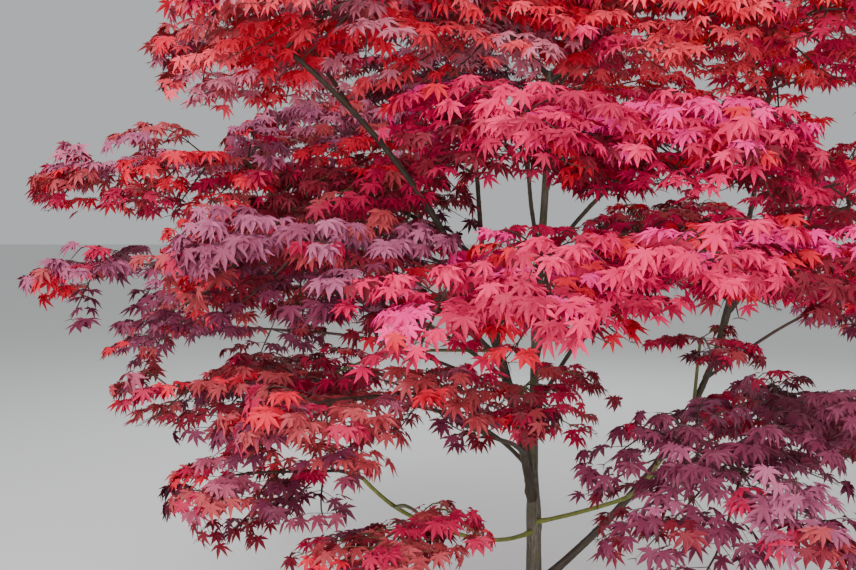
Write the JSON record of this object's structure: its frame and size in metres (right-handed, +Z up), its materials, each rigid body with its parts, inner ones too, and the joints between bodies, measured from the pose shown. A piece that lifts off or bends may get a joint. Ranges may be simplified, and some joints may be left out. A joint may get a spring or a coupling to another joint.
{
  "type": "japanese maple tree",
  "caption": "Small garden tree in red autumn leaf: a slim trunk that forks low, long arching stems and boughs, and flat tiers of star-shaped leaves.",
  "frame": {"origin": "middle of the flat cut under the trunk, at ground level", "axes": "+Z up along the trunk, -Y towards the side that the picture shows, +X to that view's right"},
  "size_m": [3.4979, 3.1247, 3.0108],
  "materials": {
    "bark": "matte",
    "young_bark": "satin",
    "leaf_scarlet": "satin",
    "leaf_rose": "satin",
    "leaf_crimson": "satin",
    "leaf_mauve": "satin"
  },
  "bodies": {
    "root": {"trunk": "bark", "stem_left": "young_bark", "stem_right": "young_bark", "stem_back": "young_bark", "top_limb_left": "young_bark", "top_limb_right": "young_bark", "bough_left_high": "young_bark", "bough_left_middle": "young_bark", "bough_left_low": "young_bark", "bough_ground_left": "young_bark", "bough_front_low": "young_bark", "bough_front_left": "young_bark", "bough_front_middle": "young_bark", "bough_front_high": "young_bark", "bough_right_high": "young_bark", "bough_right_middle": "young_bark", "bough_right_front": "young_bark", "bough_ground_right": "young_bark", "bough_right_far": "young_bark", "bough_back_left": "young_bark", "bough_back_right": "young_bark", "tier_left_high": "leaf_scarlet", "tier_left_low": "leaf_scarlet", "skirt_left": "leaf_scarlet", "crown_inner_back": "leaf_scarlet", "crown_right": "leaf_scarlet", "crown_top": "leaf_scarlet", "crown_far_right": "leaf_scarlet", "tier_back_left": "leaf_scarlet", "crown_back_right": "leaf_scarlet", "tier_front_left": "leaf_rose", "tier_front_middle": "leaf_rose", "tier_front_high": "leaf_rose", "tier_right_high": "leaf_rose", "tier_right_middle": "leaf_rose", "tier_right_front": "leaf_rose", "tier_right_edge": "leaf_rose", "crown_front_right": "leaf_rose", "crown_right_front": "leaf_rose", "tuft_trunk": "leaf_crimson", "crown_inner_left": "leaf_crimson", "skirt_front": "leaf_crimson", "skirt_right_front": "leaf_crimson", "skirt_right": "leaf_crimson", "tuft_right": "leaf_crimson", "tier_far_right_low": "leaf_crimson", "tier_back_right": "leaf_crimson", "skirt_back_left": "leaf_crimson", "skirt_back_right": "leaf_crimson", "tier_left_middle": "leaf_mauve", "tier_left_front": "leaf_mauve", "tuft_left_back": "leaf_mauve", "tier_front_low": "leaf_mauve", "crown_left_tip": "leaf_mauve", "crown_front_left": "leaf_mauve", "crown_front": "leaf_mauve", "crown_top_left": "leaf_mauve", "crown_top_right": "leaf_mauve", "crown_top_back": "leaf_mauve", "crown_back_left": "leaf_mauve"}
  },
  "joints": []
}
